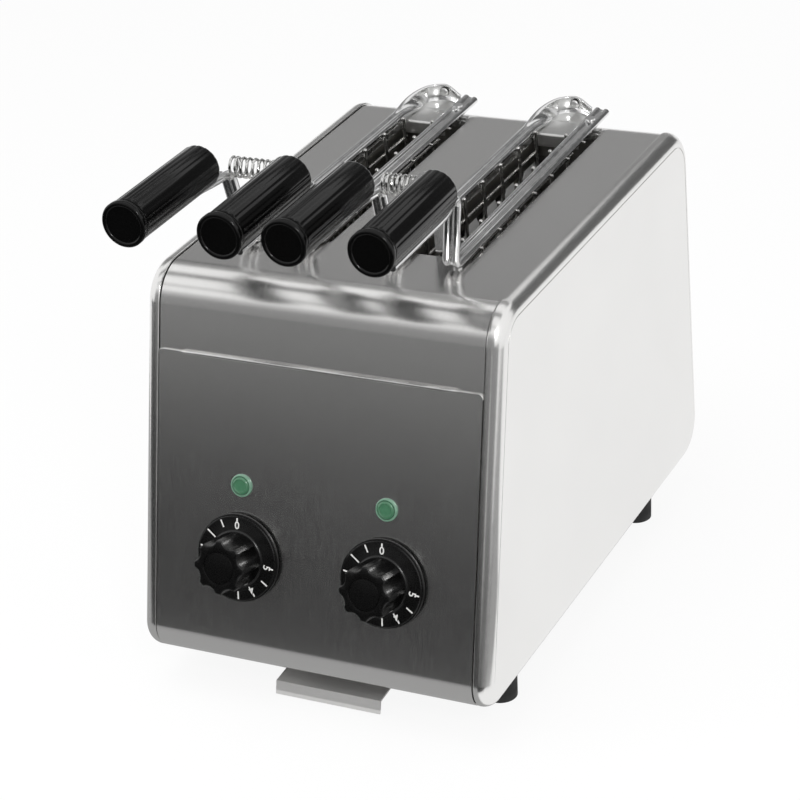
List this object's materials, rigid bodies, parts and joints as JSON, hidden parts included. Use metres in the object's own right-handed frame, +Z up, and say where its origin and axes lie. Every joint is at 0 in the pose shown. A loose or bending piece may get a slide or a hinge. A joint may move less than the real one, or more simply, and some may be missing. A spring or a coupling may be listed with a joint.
{
  "type": "two-slot toaster with sandwich tongs",
  "caption": "Counter toaster with a leaning steel front, long slots in the top, lift-out sprung tongs with black grips, minute-timer knobs, lamps and a pull-out crumb tray.",
  "frame": {"origin": "on the table under the middle of the part's outer box", "axes": "X to the right seen from the front, Y from the front to the back, Z up"},
  "size_m": [0.21, 0.337, 0.3023],
  "materials": {
    "body_steel": "vertical brushed, satin",
    "tray_steel": "mill finish sheet",
    "chamber_steel": "aluminised sheet",
    "quartz": "frosted quartz tube",
    "ceramic": "glazed ceramic",
    "foot_rubber": "matt black",
    "inner_plastic": "moulded case",
    "fasteners": "bright plated",
    "knob_plastic": "satin black with white marks",
    "lens": "green lens",
    "tong_steel": "bright plated strip",
    "cage_wire": "bright plated wire",
    "spring_wire": "bright spring wire",
    "grip_plastic": "satin black, fluted"
  },
  "bodies": {
    "housing": {"left_cheek": "body_steel", "right_cheek": "body_steel", "top_cover": "body_steel", "control_panel": "body_steel", "back_panel": "body_steel", "base_plate": "tray_steel", "feet": "foot_rubber", "foot_screws": "fasteners", "tray_runners": "tray_steel", "slot_liners": "chamber_steel", "front_wall": "chamber_steel", "rear_wall": "chamber_steel", "reflectors": "chamber_steel", "quartz_tubes": "quartz", "tube_ends": "ceramic", "timers": "inner_plastic", "timer_nuts": "fasteners", "lamp_bezels": "fasteners", "lamp_lenses": "lens", "lamp_bodies": "inner_plastic", "terminal_block": "ceramic", "cable_gland": "foot_rubber", "back_screws": "fasteners"},
    "tray": {"crumb_tray": "tray_steel"},
    "left_timer": {"left_knob": "knob_plastic", "left_shaft": "fasteners"},
    "left_tong": {"left_tong_bow": "tong_steel", "left_bow_cage": "cage_wire", "left_bow_grip": "grip_plastic", "left_hinge_pin": "tong_steel", "left_stop_plate": "tong_steel", "left_spring": "spring_wire"},
    "left_arm": {"left_tong_arm": "tong_steel", "left_arm_cage": "cage_wire", "left_arm_grip": "grip_plastic"},
    "right_timer": {"right_knob": "knob_plastic", "right_shaft": "fasteners"},
    "right_tong": {"right_tong_bow": "tong_steel", "right_bow_cage": "cage_wire", "right_bow_grip": "grip_plastic", "right_hinge_pin": "tong_steel", "right_stop_plate": "tong_steel", "right_spring": "spring_wire"},
    "right_arm": {"right_tong_arm": "tong_steel", "right_arm_cage": "cage_wire", "right_arm_grip": "grip_plastic"}
  },
  "joints": [
    {"name": "tray_slide", "type": "slide", "parent": "housing", "child": "tray", "axis": [0, -1, 0], "range_m": [0, 0.22]},
    {"name": "left_timer_turn", "type": "hinge", "parent": "housing", "child": "left_timer", "pos_m": [-0.0433, -0.14112, 0.08824], "axis": [0, 0.9668, -0.2554], "range_deg": [0, 263]},
    {"name": "left_tong_lift", "type": "slide", "parent": "housing", "child": "left_tong", "axis": [0, 0, 1], "range_m": [0, 0.17]},
    {"name": "left_squeeze", "type": "hinge", "parent": "left_tong", "child": "left_arm", "pos_m": [-0.0315, 0.14151, 0.2373], "axis": [0, 0, 1], "range_deg": [-3, 0], "stiffness_Nm_per_rad": 2, "springref_deg": 3.44, "deforming": ["left_spring"]},
    {"name": "right_timer_turn", "type": "hinge", "parent": "housing", "child": "right_timer", "pos_m": [0.0433, -0.14112, 0.08824], "axis": [0, 0.9668, -0.2554], "range_deg": [0, 263]},
    {"name": "right_tong_lift", "type": "slide", "parent": "housing", "child": "right_tong", "axis": [0, 0, 1], "range_m": [0, 0.17]},
    {"name": "right_squeeze", "type": "hinge", "parent": "right_tong", "child": "right_arm", "pos_m": [0.0533, 0.14167, 0.2373], "axis": [0, 0, 1], "range_deg": [-3, 0], "stiffness_Nm_per_rad": 2, "springref_deg": 3.44, "deforming": ["right_spring"]}
  ]
}
